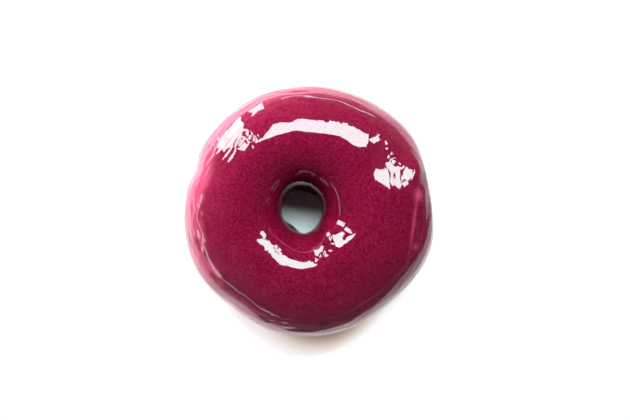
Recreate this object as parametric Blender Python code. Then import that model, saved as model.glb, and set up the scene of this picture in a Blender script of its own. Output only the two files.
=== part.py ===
"""A raised ring doughnut dipped in berry glaze, resting on its flat underside.

Metres, +Z up. The origin is on the board, under the middle of the doughnut. An azimuth runs round the
ring, from +X towards +Y. A turn runs round the ring's section: 0 at the outer side, 90 at the crest,
180 at the hole and 270 at the underside. Both are in degrees.
"""

import math
from collections import namedtuple

import bmesh
import bpy
from mathutils import Vector

MM = 0.001

# Driving dimensions. The dough is widest, and its hole narrowest, at one height: the widest line.
DOUGH_WIDTH = 93.0 * MM
HOLE_WIDTH = 19.3 * MM
HOLE_LENGTH = 21.6 * MM
HOLE_SHIFT = Vector((-2.8, 0.2)) * MM
WIDEST_HEIGHT = 15.6 * MM
CREST_RISE = 19.0 * MM
# How much nearer to the hole the crest lies than halfway across the ring
CREST_LEAN = 2.2 * MM
# Deeper than the widest height, so that the board cuts the section off and leaves a flat base
UNDERSIDE_DROP = 17.8 * MM

# The glaze over the dough: full on top, thin at its lip, and thickest in the bead behind the lip
GLAZE_THICKNESS = 1.45 * MM
GLAZE_GAP = 0.35 * MM
GLAZE_LIP = 0.35 * MM
GLAZE_BEAD = 0.8 * MM
BEAD_FROM_LIP = 3.0 * MM
BEAD_SPREAD = 2.2 * MM

# How finely the solids are cut
RING_STEPS = 88
ROWS_UNDER_GLAZE = 20
ROWS_OVER_GLAZE = 27
ROWS_BESIDE_BASE = 3
ROW_CROWDING = 0.55
STEP_FOR_NORMALS = 0.5

# The outline seen from above: where the rim swells out or draws in
Bulge = namedtuple("Bulge", "azimuth spread rise")
RIM_BULGES = (
    Bulge(7, 15, -1.75 * MM),
    Bulge(41, 11, 0.9 * MM),
    Bulge(122, 26, 0.3 * MM),
    Bulge(160, 5.5, -1.6 * MM),
    Bulge(205, 17, 1.0 * MM),
    Bulge(233, 10, -1.1 * MM),
    Bulge(265, 20, 0.25 * MM),
    Bulge(308, 15, -1.2 * MM),
    Bulge(343, 12, 0.9 * MM),
)

# Swellings and dents of the dough, each a soft mound at an azimuth and a turn
Swell = namedtuple("Swell", "azimuth turn azimuth_spread turn_spread rise")
DOUGH_SWELLS = (
    Swell(8, 57, 13, 22, 2.0 * MM),
    Swell(5, 30, 19, 14, 2.4 * MM),
    Swell(21, 36, 8, 10, 0.8 * MM),
    Swell(50, 50, 13, 20, 1.0 * MM),
    Swell(345, 50, 26, 24, 0.6 * MM),
    Swell(153, 40, 10, 24, -0.6 * MM),
    Swell(190, 50, 20, 22, 0.3 * MM),
    Swell(245, 62, 24, 26, 0.5 * MM),
    Swell(33, 70, 10, 18, -0.8 * MM),
    Swell(308, 115, 30, 24, 1.7 * MM),
    Swell(250, 140, 40, 16, -0.6 * MM),
    Swell(75, 205, 44, 16, 3.7 * MM),
    Swell(238, 206, 28, 16, 3.3 * MM),
    Swell(60, 320, 20, 22, 0.7 * MM),
    Swell(200, 318, 24, 20, -0.6 * MM),
)

# The glaze's lower edge, as turns below the widest line, and the drips that run on past it
EDGE_TURN_OUTSIDE = 26
EDGE_TURN_HOLE = 30
Drip = namedtuple("Drip", "azimuth spread length")
OUTSIDE_DRIPS = (
    Drip(14, 7, 12),
    Drip(41, 7, 7),
    Drip(66, 9, 15),
    Drip(101, 7, 9),
    Drip(133, 8, 14),
    Drip(158, 7, -7),
    Drip(181, 9, 11),
    Drip(214, 8, 15),
    Drip(236, 7, -8),
    Drip(259, 8, 8),
    Drip(287, 7, 14),
    Drip(312, 9, -5),
    Drip(339, 7, 13),
)
HOLE_DRIPS = (
    Drip(72, 30, 15),
    Drip(150, 18, -6),
    Drip(236, 26, 15),
    Drip(318, 22, 5),
)


def mound(away, spread):
    """A soft mound: 1 in its middle, and close to 0 at twice its spread."""
    return math.exp(-((away / spread) ** 2))


def turned_away(angle, middle):
    """Degrees from the middle to the angle, the short way round."""
    return (angle - middle + 180) % 360 - 180


def rim_radius(azimuth):
    swollen = sum(b.rise * mound(turned_away(azimuth, b.azimuth), b.spread) for b in RIM_BULGES)
    return DOUGH_WIDTH / 2 + swollen


def hole_radius(azimuth):
    """The hole at its narrowest is an oval, a little longer along Y."""
    around = math.radians(azimuth)
    wide, long = HOLE_WIDTH / 2, HOLE_LENGTH / 2
    return wide * long / math.hypot(long * math.cos(around), wide * math.sin(around))


def swelling(azimuth, turn):
    """How far the dough stands out of its plain section."""
    return sum(
        s.rise
        * mound(turned_away(azimuth, s.azimuth), s.azimuth_spread)
        * mound(turned_away(turn, s.turn), s.turn_spread)
        for s in DOUGH_SWELLS
    )


def dough_point(azimuth, turn):
    """A point of the dough's skin, which is flat where it would sink below the board."""
    around, across = math.radians(azimuth), math.radians(turn)
    half_band = (rim_radius(azimuth) - hole_radius(azimuth)) / 2
    lift = CREST_RISE if math.sin(across) > 0 else UNDERSIDE_DROP
    outwards = half_band * math.cos(across)
    upwards = lift * math.sin(across)
    longer = 1 + swelling(azimuth, turn) / math.hypot(outwards, upwards)
    leaning = CREST_LEAN * max(0.0, math.sin(across)) ** 2
    radius = hole_radius(azimuth) + half_band + outwards * longer - leaning
    share_from_rim = (1 - math.cos(across)) / 2
    height = max(0.0, WIDEST_HEIGHT + upwards * longer)
    return Vector(
        (
            radius * math.cos(around) + HOLE_SHIFT.x * share_from_rim,
            radius * math.sin(around) + HOLE_SHIFT.y * share_from_rim,
            height,
        )
    )


def dough_normal(azimuth, turn):
    step = STEP_FOR_NORMALS
    along = dough_point(azimuth + step, turn) - dough_point(azimuth - step, turn)
    across = dough_point(azimuth, turn + step) - dough_point(azimuth, turn - step)
    return along.cross(across).normalized()


def edge_turn(azimuth, level, drips):
    """How many degrees the glaze reaches below the widest line, drips included."""
    return level + sum(d.length * mound(turned_away(azimuth, d.azimuth), d.spread) for d in drips)


def glaze_edges(azimuth):
    """The turns of the glaze's outer edge and of its edge in the hole."""
    outside = -edge_turn(azimuth, EDGE_TURN_OUTSIDE, OUTSIDE_DRIPS)
    hole = 180 + edge_turn(azimuth, EDGE_TURN_HOLE, HOLE_DRIPS)
    return outside, hole


def glaze_thickness(azimuth, turn):
    """Thin at the lip, fullest in the bead behind it, and even over the top."""
    outside, hole = glaze_edges(azimuth)
    from_lip = math.radians(min(turn - outside, hole - turn)) * CREST_RISE
    rounding = min(1.0, max(0.0, from_lip / GLAZE_THICKNESS))
    full = GLAZE_THICKNESS + GLAZE_BEAD * mound(from_lip - BEAD_FROM_LIP, BEAD_SPREAD)
    return GLAZE_LIP + (full - GLAZE_LIP) * math.sqrt(1 - (1 - rounding) ** 2)


def turns_between(first, last, rows, crowding=0.0):
    """Turns from the first to the last, crowded towards both of them by the crowding."""
    even = [row / (rows - 1) for row in range(rows)]
    shares = [share - crowding * math.sin(2 * math.pi * share) / (2 * math.pi) for share in even]
    return [first + (last - first) * share for share in shares]


def dough_section(azimuth):
    """A closed loop: over the face that the glaze covers, then back across the bare underside."""
    outside, hole = glaze_edges(azimuth)
    base_edge = math.degrees(math.asin(WIDEST_HEIGHT / UNDERSIDE_DROP))
    covered = turns_between(outside, hole, ROWS_UNDER_GLAZE)
    in_hole = turns_between(hole, 180 + base_edge, ROWS_BESIDE_BASE + 1)[1:]
    outer = turns_between(360 - base_edge, 360 + outside, ROWS_BESIDE_BASE + 1)[:-1]
    return [dough_point(azimuth, turn) for turn in covered + in_hole + [270] + outer]


def glaze_section(azimuth):
    """A closed loop: over the dough along the glaze's inner face, then back along its outer face."""
    outside, hole = glaze_edges(azimuth)
    inner = turns_between(outside, hole, ROWS_UNDER_GLAZE)
    outer = turns_between(hole, outside, ROWS_OVER_GLAZE, ROW_CROWDING)
    places = [(turn, GLAZE_GAP) for turn in inner]
    places += [(turn, GLAZE_GAP + glaze_thickness(azimuth, turn)) for turn in outer]
    return [dough_point(azimuth, turn) + dough_normal(azimuth, turn) * out for turn, out in places]


def ring_of(section_at):
    """Closed sections, one for each step round the ring."""
    return [section_at(360 * step / RING_STEPS) for step in range(RING_STEPS)]


def centre_of_box(sections):
    points = [point for section in sections for point in section]
    low = [min(point[axis] for point in points) for axis in (0, 1)]
    high = [max(point[axis] for point in points) for axis in (0, 1)]
    return Vector(((low[0] + high[0]) / 2, (low[1] + high[1]) / 2, 0))


def skin_ring(name, sections, origin, material):
    """One closed mesh through all the sections, round the ring and back to the first."""
    shape = bmesh.new()
    loops = [[shape.verts.new(point - origin) for point in section] for section in sections]
    for here, following in zip(loops, loops[1:] + loops[:1]):
        for i in range(len(here)):
            j = (i + 1) % len(here)
            shape.faces.new((here[i], following[i], following[j], here[j]))
    bmesh.ops.recalc_face_normals(shape, faces=shape.faces)
    mesh = bpy.data.meshes.new(name)
    shape.to_mesh(mesh)
    shape.free()
    mesh.materials.append(material)
    mesh.shade_smooth()
    ring = bpy.data.objects.new(name, mesh)
    bpy.context.scene.collection.objects.link(ring)
    return ring


def plain_material(name, colour, roughness):
    material = bpy.data.materials.new(name)
    material.use_nodes = True
    shader = material.node_tree.nodes["Principled BSDF"]
    shader.inputs["Base Color"].default_value = (*colour, 1)
    shader.inputs["Roughness"].default_value = roughness
    shader.inputs["Metallic"].default_value = 0
    return material


def main():
    for leftover in list(bpy.data.objects):
        bpy.data.objects.remove(leftover)
    fried_dough = plain_material("fried_dough", (0.46, 0.22, 0.07), 0.6)
    berry_glaze = plain_material("berry_glaze", (0.22, 0.008, 0.04), 0.08)
    dough_sections = ring_of(dough_section)
    glaze_sections = ring_of(glaze_section)
    origin = centre_of_box(glaze_sections)
    skin_ring("dough", dough_sections, origin, fried_dough)
    skin_ring("glaze", glaze_sections, origin, berry_glaze)


main()
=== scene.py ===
"""Looks of a ring doughnut dipped in berry glaze, seen from straight above on a white surface.

Metres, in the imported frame: +Z up, the underside on z = 0. The dough and the glaze are read off the frame's
solids as distances from the middle of the ring's section, smoothed, and built again finely. An azimuth runs
round the ring from +X towards +Y. A turn runs round its section: 0 at the outer side, 90 at the crest, 180
at the hole.
"""

import math
from collections import namedtuple

import bmesh
import bpy
import numpy as np
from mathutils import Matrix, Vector
from mathutils.bvhtree import BVHTree


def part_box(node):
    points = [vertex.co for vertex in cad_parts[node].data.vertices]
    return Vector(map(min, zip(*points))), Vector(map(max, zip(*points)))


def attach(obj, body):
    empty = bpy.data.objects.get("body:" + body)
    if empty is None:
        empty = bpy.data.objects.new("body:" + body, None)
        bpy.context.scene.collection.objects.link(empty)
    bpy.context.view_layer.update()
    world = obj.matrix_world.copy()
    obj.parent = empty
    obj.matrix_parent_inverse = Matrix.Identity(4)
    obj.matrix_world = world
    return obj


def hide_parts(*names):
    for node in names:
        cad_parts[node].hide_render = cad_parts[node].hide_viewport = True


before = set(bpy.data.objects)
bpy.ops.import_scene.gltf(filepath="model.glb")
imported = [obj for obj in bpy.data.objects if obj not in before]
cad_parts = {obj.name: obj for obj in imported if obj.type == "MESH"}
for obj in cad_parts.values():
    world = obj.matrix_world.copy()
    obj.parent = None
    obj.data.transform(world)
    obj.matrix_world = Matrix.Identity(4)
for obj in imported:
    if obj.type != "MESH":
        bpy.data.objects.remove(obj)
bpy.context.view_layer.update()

MM = 0.001

# The height at which the dough is widest and its hole narrowest
WIDEST_HEIGHT = 15.6 * MM

# Camera: straight above, at the photo's scale. The view's width is measured at the widest height.
CAMERA_DISTANCE = 575 * MM
VIEW_WIDTH = 242.8 * MM
SENSOR_WIDTH_MM = 36
CAMERA_CENTRE = (2.5 * MM, 0.26 * MM)
NEAREST_SEEN = 0.01
FARTHEST_SEEN = 10

# The sheet of paper under the doughnut, wider than the view, on a table
PAPER_WIDTH = 255 * MM
PAPER_DEPTH = 186 * MM
PAPER_RAISED = 0.2 * MM
PAPER_CENTRE = (3 * MM, 5 * MM)
# Painted light on the paper: beyond the ring it glows as painted fill light, most where the shade falls, with
# a painted contact shadow close to the rim and a painted warm bounce from the bare dough there; and its
# colour is painted darker away from the window, as painted light falloff. Each is a place with pairs of a
# distance from it and a colour.
PAPER_RAMP_REACH = 200 * MM
PAINTED_FILL_FROM_RING = ((0, 0), ((45 * MM, 0.0), (49.5 * MM, 0.75), (62 * MM, 1.0)))
SHADE_CENTRE = (3.5 * MM, -30 * MM)
PAINTED_FILL_IN_SHADE = (
    SHADE_CENTRE,
    ((19 * MM, 0.20), (24 * MM, 0.78), (28 * MM, 0.96), (45 * MM, 0.80), (70 * MM, 0.30), (112 * MM, 0.05)),
)
PAINTED_BOUNCE_COLOUR = (SHADE_CENTRE, ((21 * MM, (1.0, 0.80, 0.64)), (27 * MM, (1.0, 1.0, 1.0))))
PAINTED_WINDOW_FALLOFF = (
    (-60 * MM, 45 * MM),
    (
        (80 * MM, (0.92, 0.76, 0.75)),
        (120 * MM, (0.62, 0.508, 0.502)),
        (132 * MM, (0.70, 0.570, 0.562)),
        (190 * MM, (0.76, 0.615, 0.605)),
    ),
)
# The paper seen through the hole is painted bluer, as painted daylight falling through it
PAINTED_DAYLIGHT_REACH = ((0, 0), ((22 * MM, 1.0), (30 * MM, 0.0)))
PAINTED_DAYLIGHT_COLOUR = (0.90, 0.90, 0.92)
TABLE_SIZE = 3.2
TABLE_COLOUR = (0.12, 0.12, 0.12)
MATT_ROUGHNESS = 0.9
MATT_GLOSS = 0.1

# Windows that face the doughnut: azimuth and angle from straight up in degrees, distance, width and height in
# metres, and radiance
DAYLIGHT = (0.77, 0.98, 1.0)
Overhead = namedtuple("Overhead", "name azimuth polar distance width height radiance")
OVERHEAD_WINDOWS = (
    Overhead("north_window", 83.5, 32, 0.62, 0.48, 0.25, 21),
    Overhead("north_east_pane", 40, 46, 0.62, 0.10, 0.18, 20),
    Overhead("high_north_west_pane", 133, 43, 0.62, 0.10, 0.15, 20),
)
# Windows that stand upright beside the doughnut, from a bottom to a top height
Upright = namedtuple("Upright", "name azimuth distance width bottom top radiance")
UPRIGHT_WINDOWS = (
    Upright("north_west_window", 138.5, 0.17, 0.072, 0.0, 0.13, 18),
    Upright("north_pane", 117, 0.15, 0.021, 0.0, 0.03, 14),
    Upright("west_glow", 196, 1.2, 1.2, 0.0, 0.22, 4.5),
    Upright("south_west_glow", 241, 1.2, 0.9, 0.02, 0.08, 3),
    Upright("north_strip", 82, 0.21, 0.17, 0.0, 0.010, 8),
)
# The room round the stage: a bright band from the horizon up to a height on a sphere of radius 1, dark above
HORIZON_COLOUR = (0.40, 0.42, 0.45)
OVERHEAD_COLOUR = (0.05, 0.05, 0.055)
HORIZON_BAND = 0.12

# How high the middle of the ring's section lies, as a share of the dough's height
CORE_HEIGHT_SHARE = 0.45

# How finely the surfaces are read and built. The smoothing and the clearance are in degrees.
AZIMUTHS = 512
TURNS = 256
CENTRING_ROUNDS = 6
HALVINGS_TO_EDGE = 14
PAST_FACE = 0.02 * MM
SMOOTH_AZIMUTH = 1.6
SMOOTH_TURN = 3.6
SMOOTH_CORE = 12
SMOOTH_EDGE = 1.4
CLEAR_OF_EDGE = 16
GLAZE_ROWS = 180
GLAZE_CROWDING = 0.2
GLAZE_BACK_ROWS = 10
DOUGH_TOP_ROWS = 44
DOUGH_BARE_ROWS = 90

# Single lumps and dents of the coat, seen from above: place, heading in degrees, half-lengths along and
# across the heading, and rise, all in mm
Mark = namedtuple("Mark", "x y heading along across rise")
MARKS = (
    Mark(39.6, 14.8, 88, 7.0, 3.0, 1.6),
    Mark(31.7, 12.4, 88, 2.6, 0.6, -0.06),
    Mark(34.0, 12.0, 95, 3.2, 0.7, -0.10),
    Mark(26.8, 28.6, 0, 0.8, 0.8, 0.24),
    Mark(30.0, 24.8, 110, 1.3, 0.8, 0.30),
    Mark(29.6, 22.6, 60, 0.9, 0.8, 0.22),
    Mark(31.8, 21.2, 120, 1.4, 0.8, 0.32),
    Mark(32.4, 18.3, 100, 1.2, 0.8, 0.30),
    Mark(34.3, 17.4, 140, 1.3, 0.8, 0.26),
    Mark(39.6, -3.5, 96, 9.0, 0.7, 0.45),
    Mark(7.5, -8.2, 45, 4.2, 3.6, 1.75),
    Mark(11.8, -12.8, 60, 3.5, 0.5, -0.08),
    Mark(8.4, -10.0, 110, 2.5, 0.5, -0.06),
    Mark(-10.2, -11.5, 142, 7.4, 4.3, 1.0),
)

# Patches of fine wrinkles: place, heading, half-lengths of the patch, size of the wrinkles, how much longer
# than wide they are, and rise. Each patch draws its own noise, from this seed on.
CRINKLE_SEED = 60
Crinkle = namedtuple("Crinkle", "x y heading along across size stretch rise")
CRINKLES = (
    Crinkle(32.0, 21.0, 120, 5.5, 3.2, 1.8, 1.4, 0.38),
    Crinkle(-33.0, 22.5, 55, 9.5, 5.0, 1.8, 4.5, 0.9),
    Crinkle(-22.5, 28.0, 120, 2.8, 2.5, 1.6, 2.0, 0.55),
    Crinkle(12.0, 34.4, -14, 11.0, 2.6, 1.5, 1.4, 0.36),
    Crinkle(-12.5, -13.5, 130, 7.0, 3.0, 1.6, 1.3, 0.12),
    Crinkle(10.5, -10.5, 30, 3.6, 3.6, 1.9, 1.8, 0.16),
    Crinkle(5.5, -16.0, 40, 3.6, 2.0, 1.9, 1.6, 0.30),
    Crinkle(-7.0, -41.0, 0, 10.0, 2.2, 1.5, 4.0, 0.45),
    Crinkle(-42.0, -4.0, 95, 14.0, 3.0, 2.2, 2.5, 0.40),
    Crinkle(38.5, -5.0, 92, 8.0, 4.0, 2.0, 2.0, 0.30),
)
# Soft unevenness of the coat, fading out below a height, and of the bare dough
Relief = namedtuple("Relief", "rise size seed")
COAT_RELIEF = (
    Relief(0.10 * MM, 17 * MM, 5),
    Relief(0.05 * MM, 7 * MM, 11),
    Relief(0.018 * MM, 2.6 * MM, 23),
)
DOUGH_RELIEF = (Relief(0.10 * MM, 5 * MM, 31), Relief(0.04 * MM, 1.8 * MM, 37))
RELIEF_FROM = 12 * MM
RELIEF_FADE = 4 * MM

# Folds of the coat that run round the outside, below a height
FOLD_SEED = 53
FOLD_SIZE = 2.0 * MM
FOLD_STRETCH = 5
FOLD_RISE = 0.16 * MM
FOLD_TOP = 31 * MM
FOLD_FADE = 5 * MM
RIM_RADIUS = 45 * MM

# Where the coat shows paler and pinker on the outside, partly as a thinner coat and partly as painted light
# on the sides
# that the windows light: azimuth, spread, share and the height it starts below
ThinAndLit = namedtuple("ThinAndLit", "azimuth spread share top")
THIN_AND_LIT_SIDES = (
    ThinAndLit(178, 28, 0.42, 33.3 * MM),
    ThinAndLit(150, 16, 0.26, 31 * MM),
    ThinAndLit(212, 18, 0.62, 32.3 * MM),
    ThinAndLit(245, 24, 0.76, 31.3 * MM),
    ThinAndLit(285, 24, 0.42, 29.5 * MM),
    ThinAndLit(325, 26, 0.16, 29 * MM),
    ThinAndLit(115, 26, 0.24, 30 * MM),
    ThinAndLit(70, 30, 0.20, 30 * MM),
    ThinAndLit(34, 18, 0.20, 29 * MM),
)
THIN_FADE = 3.5 * MM
# Patches shift those heights up and down: how far, and the coarse and the fine noise with their shares
PATCH_SHIFT = 1.2 * MM
PATCH_NOISES = (Relief(1.0, 9 * MM, 41), Relief(0.6, 4 * MM, 43))
# Far above those heights a little of the paler colour of a thin coat and painted light still shows. Below the
# widest line less of it shows.
HIGH_PALE_SHARE = 0.28
HIGH_PALE_TOP = 36.8 * MM
HIGH_PALE_FADE = 8 * MM
PALE_BELOW_SHARE = 0.45
THIN_AND_LIT_COLOUR = (0.70, 0.085, 0.165)
# Painted highlights: single pale lines and spots where the folds and the rim glint, as marks whose rise is a
# share
PAINTED_GLINT_MARKS = (
    Mark(39.4, -4.7, 82, 9.0, 0.5, 0.36),
    Mark(41.2, 5.9, 90, 2.2, 1.6, 0.40),
    Mark(40.2, -13.7, 90, 1.2, 1.2, 0.30),
    Mark(-9.0, -42.3, -12, 1.8, 0.3, 0.50),
    Mark(-1.5, -43.2, -3, 4.0, 0.3, 0.35),
)
# Clots of full thickness left within the thin coat
CLOT_SEED = 47
CLOT_SIZE = 2.6 * MM
CLOT_STRETCH = 3
CLOT_FROM = 0.30
CLOT_FADE = 0.25
CLOT_SHARE = 0.6

# Colours of the two pieces: a mottle between a dark and a pale colour, by noise values, with pale specks in
# the glaze where a finer noise is high
Mottle = namedtuple("Mottle", "scale detail dark_to pale_from")
GLAZE_MOTTLE = Mottle(1000, 3, 0.37, 0.63)
GLAZE_DARK = (0.108, 0.0008, 0.0108)
GLAZE_PALE = (0.164, 0.0036, 0.0226)
SPECKS = Mottle(1500, 1, 0.66, 0.74)
SPECK_COLOUR = (0.19, 0.013, 0.038)
DOUGH_MOTTLE = Mottle(220, 5, 0.3, 0.7)
DOUGH_DARK = (0.33, 0.14, 0.045)
DOUGH_PALE = (0.58, 0.31, 0.12)
DOUGH_ROUGHNESS = 0.55
GLAZE_ROUGHNESS = 0.045
GLAZE_IOR = 1.5
# Deep in the hole, below a height, the coat is painted darker as painted shade, and is less glossy
PAINTED_HOLE_SHADE = (0.060, 0.002, 0.008)
DEEP_HOLE_TOP = 20.5 * MM
DEEP_HOLE_FADE = 2.5 * MM
FULL_GLOSS = 0.5
DEEP_HOLE_GLOSS = 0.01

# The glaze's lower edge
LIP_ROUNDING = 1.6 * MM
LIP_BEAD = 0.75 * MM
BEAD_FROM_LIP = 3.0 * MM
BEAD_SPREAD = 2.2 * MM
LIP_SUNK = 0.15 * MM
RELIEF_FROM_LIP = 3 * LIP_ROUNDING
# How far the finer rows of the dough's bare side reach up under the glaze, in degrees, and how far the dough
# lies below the solid's skin
TUCKED_UNDER = 8
DOUGH_SUNK = 0.1 * MM

# Lattice noise: how many slopes it draws from, and what brings it to about -1 to 1
NOISE_SLOPES = 256
NOISE_GAIN = 1.5


def steps_round(count):
    """Angles that go once round in even steps."""
    return np.arange(count) * 2 * np.pi / count


def tree_of(node):
    """The faces of a solid, ready for rays to meet."""
    mesh = node.data
    return BVHTree.FromPolygons([v.co for v in mesh.vertices], [p.vertices for p in mesh.polygons])


def ray_distance(tree, origin, direction):
    """How far a ray goes before it meets the solid: nan if it never does."""
    hit = tree.ray_cast(Vector(origin), Vector(direction))
    return hit[3] if hit[0] is not None else math.nan


def gaussian_filter(field, azimuth_degrees, turn_degrees):
    """The field's Fourier terms, faded out where they are finer than the two spreads."""
    terms = np.fft.fft2(field)
    round_ring = np.fft.fftfreq(field.shape[0], 1 / field.shape[0])[:, None]
    round_section = np.fft.fftfreq(field.shape[1], 1 / field.shape[1])[None, :]
    fade = np.exp(-0.5 * (round_ring * math.radians(azimuth_degrees)) ** 2)
    fade = fade * np.exp(-0.5 * (round_section * math.radians(turn_degrees)) ** 2)
    return terms * fade


class RingField:
    """A smooth value over the ring, read at any turns of every azimuth."""

    def __init__(self, samples, azimuth_degrees=SMOOTH_AZIMUTH, turn_degrees=SMOOTH_TURN):
        terms = gaussian_filter(samples, azimuth_degrees, turn_degrees)
        self.rows = np.fft.ifft(terms, axis=0)
        self.count = samples.shape[1]

    def at(self, turns):
        """turns has one row for each azimuth, in radians. Terms above a third of them all have faded out."""
        total = np.full(turns.shape, 0.0)
        for term in range(self.count // 3):
            weight = 1 if term == 0 else 2
            total += weight * np.real(self.rows[:, term : term + 1] * np.exp(1j * term * turns))
        return total / self.count


def smooth_round(values, degrees):
    """Smooths values that run once round the ring."""
    terms = np.fft.fft(values)
    waves = np.fft.fftfreq(len(values), 1 / len(values))
    return np.real(np.fft.ifft(terms * np.exp(-0.5 * (waves * math.radians(degrees)) ** 2)))


class Ring:
    """The section's core line and the surfaces round it, read off the frame's solids."""

    def __init__(self):
        self.dough_tree = tree_of(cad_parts["dough"])
        self.glaze_tree = tree_of(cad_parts["glaze"])
        dough_low, dough_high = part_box("dough")
        self.height = CORE_HEIGHT_SHARE * dough_high[2]
        self.angles = steps_round(AZIMUTHS)
        self.reach = dough_high[0] - dough_low[0]
        self.hole_centre = self.find_hole_centre()
        self.core = self.find_core()
        turns = steps_round(TURNS)
        dough, glaze = self.read_surfaces(turns)
        self.edges = self.find_edges()
        self.dough = RingField(dough)
        self.glaze = RingField(self.fill_thickness(glaze - dough, turns))

    def outward(self, azimuth):
        return np.array([math.cos(azimuth), math.sin(azimuth), 0.0])

    def find_hole_centre(self):
        """The middle of the hole's wall, found anew from each better start."""
        start = np.array([0.0, 0.0, self.height])
        for _ in range(CENTRING_ROUNDS):
            wall = []
            for azimuth in self.angles:
                way = self.outward(azimuth)
                wall.append(start + way * ray_distance(self.dough_tree, start, way))
            start = np.mean(wall, axis=0)
        return start

    def find_core(self):
        """Halfway between the hole's wall and the outside, at each azimuth."""
        inner, outer = [], []
        for azimuth in self.angles:
            way = self.outward(azimuth)
            inner.append(ray_distance(self.dough_tree, self.hole_centre, way))
            outside = self.hole_centre + way * self.reach
            outer.append(self.reach - ray_distance(self.dough_tree, outside, -way))
        return smooth_round((np.array(inner) + np.array(outer)) / 2, SMOOTH_CORE)

    def way(self, i, turn):
        """The direction of a turn in the section at an azimuth's number."""
        return self.outward(self.angles[i]) * math.cos(turn) + np.array([0.0, 0.0, math.sin(turn)])

    def core_point(self, i):
        return self.hole_centre + self.outward(self.angles[i]) * self.core[i]

    def read_surfaces(self, turns):
        """Distances from the core to the dough's skin and to the glaze's outer face (nan where bare)."""
        dough = np.zeros((AZIMUTHS, TURNS))
        glaze = np.zeros((AZIMUTHS, TURNS))
        for i in range(AZIMUTHS):
            core = self.core_point(i)
            for j, turn in enumerate(turns):
                way = self.way(i, turn)
                dough[i, j] = ray_distance(self.dough_tree, core, way)
                glaze[i, j] = self.glaze_outer(core, way)
        return dough, glaze

    def glaze_outer(self, core, way):
        """Distance to the glaze's outer face: the second face that a ray from the core meets."""
        first = ray_distance(self.glaze_tree, core, way)
        if math.isnan(first):
            return math.nan
        start = first + PAST_FACE
        return start + ray_distance(self.glaze_tree, core + way * start, way)

    def covered(self, i, turn):
        return not math.isnan(ray_distance(self.glaze_tree, self.core_point(i), self.way(i, turn)))

    def find_edges(self):
        """The turns of the glaze's two lower edges at each azimuth, in radians."""
        edges = []
        for inside, outside in ((0.0, -math.pi / 2), (math.pi, 1.5 * math.pi)):
            found = []
            for i in range(AZIMUTHS):
                on, off = inside, outside
                for _ in range(HALVINGS_TO_EDGE):
                    middle = (on + off) / 2
                    if self.covered(i, middle):
                        on = middle
                    else:
                        off = middle
                found.append(on)
            edges.append(smooth_round(np.array(found), SMOOTH_EDGE))
        return edges

    def fill_thickness(self, thickness, turns):
        """The glaze's thickness clear of its lips, carried on past them."""
        clear = math.radians(CLEAR_OF_EDGE)
        filled = np.full(thickness.shape, np.nanmedian(thickness))
        for i in range(AZIMUTHS):
            low, high = self.edges[0][i] + clear, self.edges[1][i] - clear
            beyond = (turns - low) % (2 * np.pi)
            inside = (beyond < high - low) & ~np.isnan(thickness[i])
            filled[i, inside] = thickness[i, inside]
        return filled

    def places(self, turns, distances):
        """Points at those distances from the core. Both arrays have one row for each azimuth."""
        radius = self.core[:, None] + distances * np.cos(turns)
        points = np.empty(turns.shape + (3,))
        points[..., 0] = self.hole_centre[0] + radius * np.cos(self.angles)[:, None]
        points[..., 1] = self.hole_centre[1] + radius * np.sin(self.angles)[:, None]
        points[..., 2] = self.hole_centre[2] + distances * np.sin(turns)
        return points


def lattice_noise(points, size, seed):
    """Smooth noise from about -1 to 1, with features of about that size."""
    table = np.random.RandomState(seed).permutation(NOISE_SLOPES)
    slopes = np.random.RandomState(seed + 1).normal(size=(NOISE_SLOPES, 3))
    slopes /= np.linalg.norm(slopes, axis=1)[:, None]
    scaled = points / size
    cell = np.floor(scaled).astype(int)
    part = scaled - cell
    ease = part**3 * (part * (part * 6 - 15) + 10)
    total = np.zeros(points.shape[:-1])
    for corner in np.ndindex(2, 2, 2):
        key = 0
        for axis in range(3):
            key = table[(key + cell[..., axis] + corner[axis]) % NOISE_SLOPES]
        dot = np.sum(slopes[key] * (part - corner), axis=-1)
        weight = np.prod(np.where(np.array(corner) == 1, ease, 1 - ease), axis=-1)
        total += weight * dot
    return total * NOISE_GAIN


def relief(points, layers):
    """The sum of several lattice noises, each at its rise."""
    return sum(layer.rise * lattice_noise(points, layer.size, layer.seed) for layer in layers)


def grid_mesh(name, points, material):
    """A closed mesh over points that wrap round the ring and round the section."""
    around, across = points.shape[:2]
    index = np.arange(around * across).reshape(around, across)
    right = np.roll(index, -1, axis=0)
    up = np.roll(index, -1, axis=1)
    both = np.roll(right, -1, axis=1)
    faces = np.stack([index, right, both, up], axis=-1).reshape(-1, 4)
    mesh = bpy.data.meshes.new(name)
    mesh.vertices.add(around * across)
    mesh.vertices.foreach_set("co", points.reshape(-1))
    mesh.loops.add(faces.size)
    mesh.loops.foreach_set("vertex_index", faces.reshape(-1))
    mesh.polygons.add(len(faces))
    mesh.polygons.foreach_set("loop_start", np.arange(len(faces)) * 4)
    mesh.update(calc_edges=True)
    mesh.validate()
    mesh.materials.append(material)
    mesh.shade_smooth()
    piece = bpy.data.objects.new(name, mesh)
    bpy.context.scene.collection.objects.link(piece)
    return piece


def spread_turns(first, last, rows, crowding):
    """Turns from first to last (one of each per azimuth), crowded towards both by the crowding."""
    even = np.linspace(0, 1, rows)
    shares = even - crowding * np.sin(2 * np.pi * even) / (2 * np.pi)
    return first[:, None] + (last - first)[:, None] * shares[None, :]


def lip_profile(from_lip):
    """What share of the glaze's full thickness stands at a distance from its lip."""
    rounding = np.clip(from_lip / LIP_ROUNDING, 0, 1)
    return np.sqrt(1 - (1 - rounding) ** 2)


def beside(points, x, y, heading):
    """Distances in mm along and across a heading from a place, seen from above."""
    east, north = points[..., 0] / MM - x, points[..., 1] / MM - y
    way = math.radians(heading)
    along = east * math.cos(way) + north * math.sin(way)
    across = north * math.cos(way) - east * math.sin(way)
    return along, across


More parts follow.
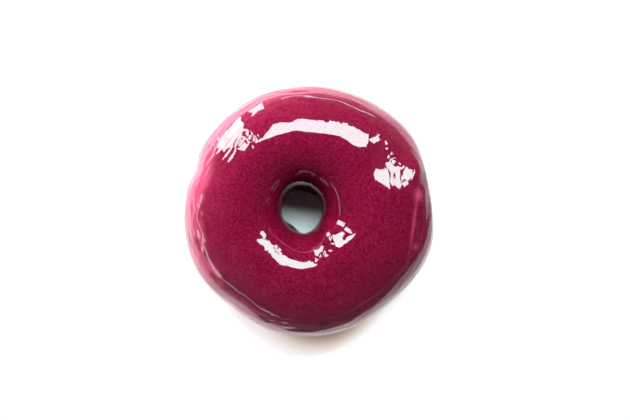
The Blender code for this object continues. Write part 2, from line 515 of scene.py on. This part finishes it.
def marks(points, listed):
    """The rises of single marks, each fading out round its place."""
    total = np.zeros(points.shape[:-1])
    for mark in listed:
        along, across = beside(points, mark.x, mark.y, mark.heading)
        total += mark.rise * np.exp(-((along / mark.along) ** 2) - (across / mark.across) ** 2)
    return total


def crinkles(points):
    """The patches of fine wrinkles."""
    total = np.zeros(points.shape[:-1])
    for number, fold in enumerate(CRINKLES):
        along, across = beside(points, fold.x, fold.y, fold.heading)
        drawn_out = np.stack([along / fold.stretch, across, points[..., 2] / MM / fold.stretch], axis=-1)
        ridge = 0.5 - np.abs(lattice_noise(drawn_out, fold.size, CRINKLE_SEED + number))
        reach = np.exp(-((along / fold.along) ** 2) - (across / fold.across) ** 2)
        total += fold.rise * MM * ridge * reach
    return total


def beyond_core(ring, points):
    """How far outside the core line the points lie, seen from above: negative towards the hole."""
    from_hole = np.linalg.norm(points[..., :2] - ring.hole_centre[:2], axis=-1)
    return from_hole - ring.core[:, None]


def along_rim(ring, points, stretch):
    """Places for noise that is drawn out round the ring: its azimuths are shortened, its section isn't."""
    east, north = (points[..., axis] - ring.hole_centre[axis] for axis in (0, 1))
    radius = np.hypot(east, north)
    across = (radius - ring.core[:, None] - points[..., 2]) / math.sqrt(2)
    rim = RIM_RADIUS / stretch
    return np.stack([east / radius * rim, north / radius * rim, across], axis=-1)


def rim_folds(ring, points):
    """Fine folds round the outside of the ring."""
    outside = np.clip(beyond_core(ring, points) / FOLD_FADE, 0, 1)
    low = np.clip((FOLD_TOP - points[..., 2]) / FOLD_FADE, 0, 1)
    folds = lattice_noise(along_rim(ring, points, FOLD_STRETCH), FOLD_SIZE, FOLD_SEED)
    return FOLD_RISE * outside * low * folds


def glaze_relief(ring, points):
    """How far the poured glaze swells and dips."""
    on_top = np.clip((points[..., 2] - RELIEF_FROM) / RELIEF_FADE, 0, 1)
    detail = MM * marks(points, MARKS) + crinkles(points)
    return relief(points, COAT_RELIEF) + rim_folds(ring, points) + on_top * detail


def side_share(azimuths, middle, spread):
    """1 at the middle azimuth, fading to 0 at about twice the spread. Degrees."""
    away = (np.degrees(azimuths) - middle + 180) % 360 - 180
    return np.exp(-((away / spread) ** 2))


def clots(ring, points):
    """Where the coat keeps its full thickness: 1 in a clot, 0 outside."""
    noise = lattice_noise(along_rim(ring, points, CLOT_STRETCH), CLOT_SIZE, CLOT_SEED)
    return np.clip((noise - CLOT_FROM) / CLOT_FADE, 0, 1)


def thin_and_lit(ring, points):
    """How pale the coat is: partly a thinner coat over the pale dough, partly painted light on the lit sides;
    most at the lower left, not in the hole.
    """
    height = points[..., 2] + PATCH_SHIFT * relief(points, PATCH_NOISES)
    total = np.zeros(height.shape)
    high = HIGH_PALE_SHARE * np.clip((HIGH_PALE_TOP - height) / HIGH_PALE_FADE, 0, 1)
    for side in THIN_AND_LIT_SIDES:
        low = np.clip((side.top - height) / THIN_FADE, 0, 1)
        low = np.maximum(high, low * low * (3 - 2 * low))
        total += side.share * side_share(ring.angles, side.azimuth, side.spread)[:, None] * low
    below = np.clip((WIDEST_HEIGHT + THIN_FADE - points[..., 2]) / WIDEST_HEIGHT, 0, 1)
    total *= 1 - (1 - PALE_BELOW_SHARE) * below
    thin = np.clip(total, 0, 1) * (1 - CLOT_SHARE * clots(ring, points))
    outside = np.clip(beyond_core(ring, points) / THIN_FADE + 0.5, 0, 1)
    # Painted highlights: the pale lines and spots are added on top
    return np.clip(thin + marks(points, PAINTED_GLINT_MARKS), 0, 1) * outside


def deep_in_hole(ring, points):
    """How deep in the hole a point lies, for the painted shade and the lower gloss there."""
    inside = np.clip(-beyond_core(ring, points) / THIN_FADE, 0, 1)
    return inside * np.clip((DEEP_HOLE_TOP - points[..., 2]) / DEEP_HOLE_FADE, 0, 1)


def point_values(piece, name, values):
    """Stores a value at each point of a mesh, for its material."""
    stored = piece.data.attributes.new(name, "FLOAT", "POINT")
    stored.data.foreach_set("value", values.reshape(-1))


def make_glaze(ring, material):
    """The coat: its outer face from lip to lip, closed by a few rows just inside the dough's skin."""
    outside, hole = ring.edges
    turns = spread_turns(outside, hole, GLAZE_ROWS, GLAZE_CROWDING)
    dough = ring.dough.at(turns)
    full = ring.glaze.at(turns)
    from_lip = np.minimum(turns - outside[:, None], hole[:, None] - turns) * dough
    bead = LIP_BEAD * np.exp(-(((from_lip - BEAD_FROM_LIP) / BEAD_SPREAD) ** 2))
    thickness = (full + bead) * lip_profile(from_lip)
    points = ring.places(turns, dough + thickness)
    uneven = glaze_relief(ring, points) * np.clip(from_lip / RELIEF_FROM_LIP, 0, 1)
    outer = ring.places(turns, dough + thickness + uneven)
    back_turns = spread_turns(hole, outside, GLAZE_BACK_ROWS + 2, 0)[:, 1:-1]
    back = ring.places(back_turns, ring.dough.at(back_turns) - LIP_SUNK)
    points = np.concatenate([outer, back], axis=1)
    piece = grid_mesh("poured_glaze", points, material)
    # The paler colour of a thinner coat and of painted light on the lit sides
    point_values(piece, "thin_and_lit", thin_and_lit(ring, points))
    # Painted shade deep in the hole, which also lowers the gloss there
    point_values(piece, "deep_in_hole", deep_in_hole(ring, points))
    return piece


def make_dough(ring, material):
    """The dough, coarser where the glaze hides it and finer over its bare underside."""
    outside, hole = ring.edges
    hidden = math.radians(TUCKED_UNDER)
    top = spread_turns(outside + hidden, hole - hidden, DOUGH_TOP_ROWS, 0)
    bare = spread_turns(hole - hidden, 2 * np.pi + outside + hidden, DOUGH_BARE_ROWS + 2, 0)[:, 1:-1]
    turns = np.concatenate([top, bare], axis=1)
    plain = ring.places(turns, ring.dough.at(turns))
    points = ring.places(turns, ring.dough.at(turns) + relief(plain, DOUGH_RELIEF) - DOUGH_SUNK)
    points[..., 2] = np.maximum(points[..., 2], 0)
    return grid_mesh("fried_ring", points, material)


def shader_material(name):
    """A new material with its node tree and its shader."""
    material = bpy.data.materials.new(name)
    material.use_nodes = True
    return material, material.node_tree, material.node_tree.nodes["Principled BSDF"]


def colour_socket(sockets, name):
    """A mix node has a socket of each name for every kind of value; this is the one for colours."""
    return next(socket for socket in sockets if socket.name == name and socket.type == "RGBA")


def mixed_colour(tree, share, first, second):
    """The first colour with that share of the second. Each is a socket or three numbers."""
    mix = tree.nodes.new("ShaderNodeMix")
    mix.data_type = "RGBA"
    tree.links.new(share, mix.inputs["Factor"])
    for name, colour in (("A", first), ("B", second)):
        socket = colour_socket(mix.inputs, name)
        if isinstance(colour, tuple):
            socket.default_value = (*colour, 1)
        else:
            tree.links.new(colour, socket)
    return colour_socket(mix.outputs, "Result")


def stored_value(tree, name):
    """A value stored at the mesh's points."""
    stored = tree.nodes.new("ShaderNodeAttribute")
    stored.attribute_name = name
    return stored.outputs["Fac"]


def mottle(tree, kind, dark, pale):
    """Between two colours or greys, by a noise over the piece."""
    place = tree.nodes.new("ShaderNodeTexCoord")
    noise = tree.nodes.new("ShaderNodeTexNoise")
    noise.inputs["Scale"].default_value = kind.scale
    noise.inputs["Detail"].default_value = kind.detail
    tree.links.new(place.outputs["Object"], noise.inputs["Vector"])
    return colour_ramp(tree, noise.outputs["Fac"], ((kind.dark_to, dark), (kind.pale_from, pale)))


def glaze_material():
    material, tree, shader = shader_material("berry_glaze_with_painted_light")
    mottled = mottle(tree, GLAZE_MOTTLE, GLAZE_DARK, GLAZE_PALE)
    speckled = mixed_colour(tree, mottle(tree, SPECKS, 0.0, 1.0), mottled, SPECK_COLOUR)
    # Paler where the coat is thin and where light is painted on the lit sides
    with_thin_and_lit = mixed_colour(tree, stored_value(tree, "thin_and_lit"), speckled, THIN_AND_LIT_COLOUR)
    # Painted shade: the coat is painted darker deep in the hole
    with_hole_shade = mixed_colour(tree, stored_value(tree, "deep_in_hole"), with_thin_and_lit, PAINTED_HOLE_SHADE)
    tree.links.new(with_hole_shade, shader.inputs["Base Color"])
    gloss = tree.nodes.new("ShaderNodeMath")
    gloss.operation = "MULTIPLY_ADD"
    gloss.inputs[1].default_value = DEEP_HOLE_GLOSS - FULL_GLOSS
    gloss.inputs[2].default_value = FULL_GLOSS
    tree.links.new(stored_value(tree, "deep_in_hole"), gloss.inputs[0])
    tree.links.new(gloss.outputs["Value"], shader.inputs["Specular IOR Level"])
    shader.inputs["Roughness"].default_value = GLAZE_ROUGHNESS
    shader.inputs["IOR"].default_value = GLAZE_IOR
    return material


def dough_material():
    material, tree, shader = shader_material("fried_dough_finish")
    tree.links.new(mottle(tree, DOUGH_MOTTLE, DOUGH_DARK, DOUGH_PALE), shader.inputs["Base Color"])
    shader.inputs["Roughness"].default_value = DOUGH_ROUGHNESS
    return material


def flat_sheet(name, width, depth, centre, height, material):
    """A level rectangle on the floor, part of the stage."""
    shape = bmesh.new()
    corners = ((-1, -1), (1, -1), (1, 1), (-1, 1))
    spots = [(centre[0] + x * width / 2, centre[1] + y * depth / 2, height) for x, y in corners]
    shape.faces.new([shape.verts.new(spot) for spot in spots])
    mesh = bpy.data.meshes.new(name)
    shape.to_mesh(mesh)
    shape.free()
    mesh.materials.append(material)
    sheet = bpy.data.objects.new(name, mesh)
    bpy.context.scene.collection.objects.link(sheet)


def matt_material(name):
    material, tree, shader = shader_material(name)
    shader.inputs["Roughness"].default_value = MATT_ROUGHNESS
    shader.inputs["Specular IOR Level"].default_value = MATT_GLOSS
    return material, tree, shader


def colour_ramp(tree, source, stops):
    """A ramp over a value, from pairs of a position and a colour or a grey."""
    ramp = tree.nodes.new("ShaderNodeValToRGB")
    elements = ramp.color_ramp.elements
    while len(elements) < len(stops):
        elements.new(0.5)
    for element, (position, colour) in zip(elements, stops):
        element.position = position
        element.color = (*colour, 1) if isinstance(colour, tuple) else (colour, colour, colour, 1)
    tree.links.new(source, ramp.inputs["Fac"])
    return ramp.outputs["Color"]


def distance_ramp(tree, place, stops):
    """Colours by the distance from a place on the paper."""
    here = tree.nodes.new("ShaderNodeTexCoord")
    away = tree.nodes.new("ShaderNodeVectorMath")
    away.operation = "DISTANCE"
    away.inputs[1].default_value = (*place, 0)
    tree.links.new(here.outputs["Object"], away.inputs[0])
    share = tree.nodes.new("ShaderNodeMath")
    share.operation = "DIVIDE"
    share.inputs[1].default_value = PAPER_RAMP_REACH
    tree.links.new(away.outputs["Value"], share.inputs[0])
    shares = [(distance / PAPER_RAMP_REACH, colour) for distance, colour in stops]
    return colour_ramp(tree, share.outputs["Value"], shares)


def paper_material():
    """White paper with painted light: it glows a little as painted fill light in the doughnut's shade."""
    material, tree, shader = matt_material("paper_with_painted_light")
    # Painted fill light: the paper glows in the doughnut's shade, less right by the rim, in a painted warm
    # bounce colour
    painted_fill = tree.nodes.new("ShaderNodeMath")
    painted_fill.operation = "MULTIPLY"
    tree.links.new(distance_ramp(tree, *PAINTED_FILL_FROM_RING), painted_fill.inputs[0])
    tree.links.new(distance_ramp(tree, *PAINTED_FILL_IN_SHADE), painted_fill.inputs[1])
    tree.links.new(distance_ramp(tree, *PAINTED_BOUNCE_COLOUR), shader.inputs["Emission Color"])
    tree.links.new(painted_fill.outputs["Value"], shader.inputs["Emission Strength"])
    # Painted light falloff: the paper's colour is painted darker away from the window
    white = distance_ramp(tree, *PAINTED_WINDOW_FALLOFF)
    # Painted daylight: in the hole the paper is painted bluer
    mixed = mixed_colour(tree, distance_ramp(tree, *PAINTED_DAYLIGHT_REACH), white, PAINTED_DAYLIGHT_COLOUR)
    tree.links.new(mixed, shader.inputs["Base Color"])
    return material


def table_material():
    material, _, shader = matt_material("table_finish")
    shader.inputs["Base Color"].default_value = (*TABLE_COLOUR, 1)
    return material


def make_floor():
    flat_sheet("table", TABLE_SIZE, TABLE_SIZE, (0, 0), -PAPER_RAISED, table_material())
    flat_sheet("paper", PAPER_WIDTH, PAPER_DEPTH, PAPER_CENTRE, 0, paper_material())


def direction(azimuth, polar):
    """Towards an azimuth, at an angle from straight up. Both are in degrees."""
    around, down = math.radians(azimuth), math.radians(polar)
    return Vector((math.sin(down) * math.cos(around), math.sin(down) * math.sin(around), math.cos(down)))


def add_window(name, place, way, width, height, radiance):
    """A bright rectangle that shines back along a direction."""
    light = bpy.data.lights.new(name, "AREA")
    light.shape = "RECTANGLE"
    light.size, light.size_y = width, height
    light.energy = radiance * math.pi * width * height
    light.color = DAYLIGHT
    lamp = bpy.data.objects.new(name, light)
    lamp.location = place
    lamp.rotation_mode = "QUATERNION"
    lamp.rotation_quaternion = way.to_track_quat("Z", "Y")
    bpy.context.scene.collection.objects.link(lamp)


def make_lights():
    for window in OVERHEAD_WINDOWS:
        way = direction(window.azimuth, window.polar)
        add_window(window.name, way * window.distance, way, window.width, window.height, window.radiance)
    for window in UPRIGHT_WINDOWS:
        way = direction(window.azimuth, 90)
        place = way * window.distance + Vector((0, 0, (window.bottom + window.top) / 2))
        add_window(window.name, place, way, window.width, window.top - window.bottom, window.radiance)


def make_world():
    """Dark overhead, with a bright band along the horizon."""
    world = bpy.data.worlds.new("studio")
    world.use_nodes = True
    tree = world.node_tree
    background = tree.nodes["Background"]
    place = tree.nodes.new("ShaderNodeTexCoord")
    split = tree.nodes.new("ShaderNodeSeparateXYZ")
    tree.links.new(place.outputs["Generated"], split.inputs["Vector"])
    stops = ((0.0, HORIZON_COLOUR), (HORIZON_BAND, OVERHEAD_COLOUR))
    tree.links.new(colour_ramp(tree, split.outputs["Z"], stops), background.inputs["Color"])
    bpy.context.scene.world = world


def make_camera():
    camera = bpy.data.cameras.new("camera")
    camera.sensor_width = SENSOR_WIDTH_MM
    camera.lens = SENSOR_WIDTH_MM * CAMERA_DISTANCE / VIEW_WIDTH
    camera.clip_start = NEAREST_SEEN
    camera.clip_end = FARTHEST_SEEN
    eye = bpy.data.objects.new("camera", camera)
    eye.location = (*CAMERA_CENTRE, WIDEST_HEIGHT + CAMERA_DISTANCE)
    bpy.context.scene.collection.objects.link(eye)
    bpy.context.scene.camera = eye


ring = Ring()
glaze = make_glaze(ring, glaze_material())
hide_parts("glaze")
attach(glaze, "root")
dough = make_dough(ring, dough_material())
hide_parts("dough")
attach(dough, "root")

make_floor()
make_world()
make_lights()
make_camera()
bpy.context.scene.view_settings.view_transform = "Standard"
